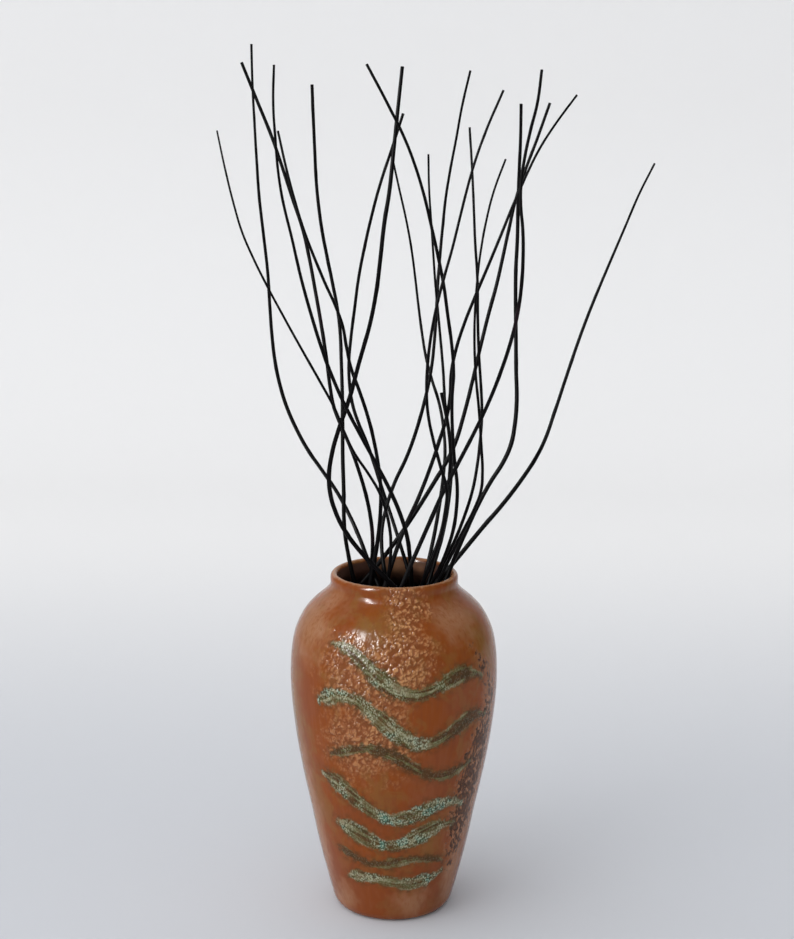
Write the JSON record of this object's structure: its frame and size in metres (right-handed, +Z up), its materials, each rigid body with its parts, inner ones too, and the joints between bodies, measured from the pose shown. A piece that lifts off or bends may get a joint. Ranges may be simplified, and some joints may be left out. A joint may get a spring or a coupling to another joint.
{
  "type": "branch arrangement in vase",
  "caption": "Loose spray of tall dark wavy bare branches standing in a shouldered stoneware vase with a rolled lip.",
  "frame": {"origin": "middle of the vase's flat base, on the surface that it stands on", "axes": "+Z up along the vase's axis and the branches; the front is looked at along +Y, with +X to the right"},
  "size_m": [0.3943, 0.2916, 0.8234],
  "materials": {
    "glazed_stoneware": "glossy russet glaze with trailed green bands",
    "dark_bark": "near-black, slightly glossy bark"
  },
  "bodies": {
    "root": {"vase": "glazed_stoneware", "branch_01": "dark_bark", "branch_02": "dark_bark", "branch_03": "dark_bark", "branch_04": "dark_bark", "branch_05": "dark_bark", "branch_06": "dark_bark", "branch_07": "dark_bark", "branch_08": "dark_bark", "branch_09": "dark_bark", "branch_10": "dark_bark", "branch_11": "dark_bark", "branch_12": "dark_bark", "branch_13": "dark_bark", "branch_14": "dark_bark", "branch_15": "dark_bark", "branch_16": "dark_bark", "branch_17": "dark_bark", "branch_18": "dark_bark", "branch_19": "dark_bark", "branch_20": "dark_bark", "branch_21": "dark_bark"}
  },
  "joints": []
}
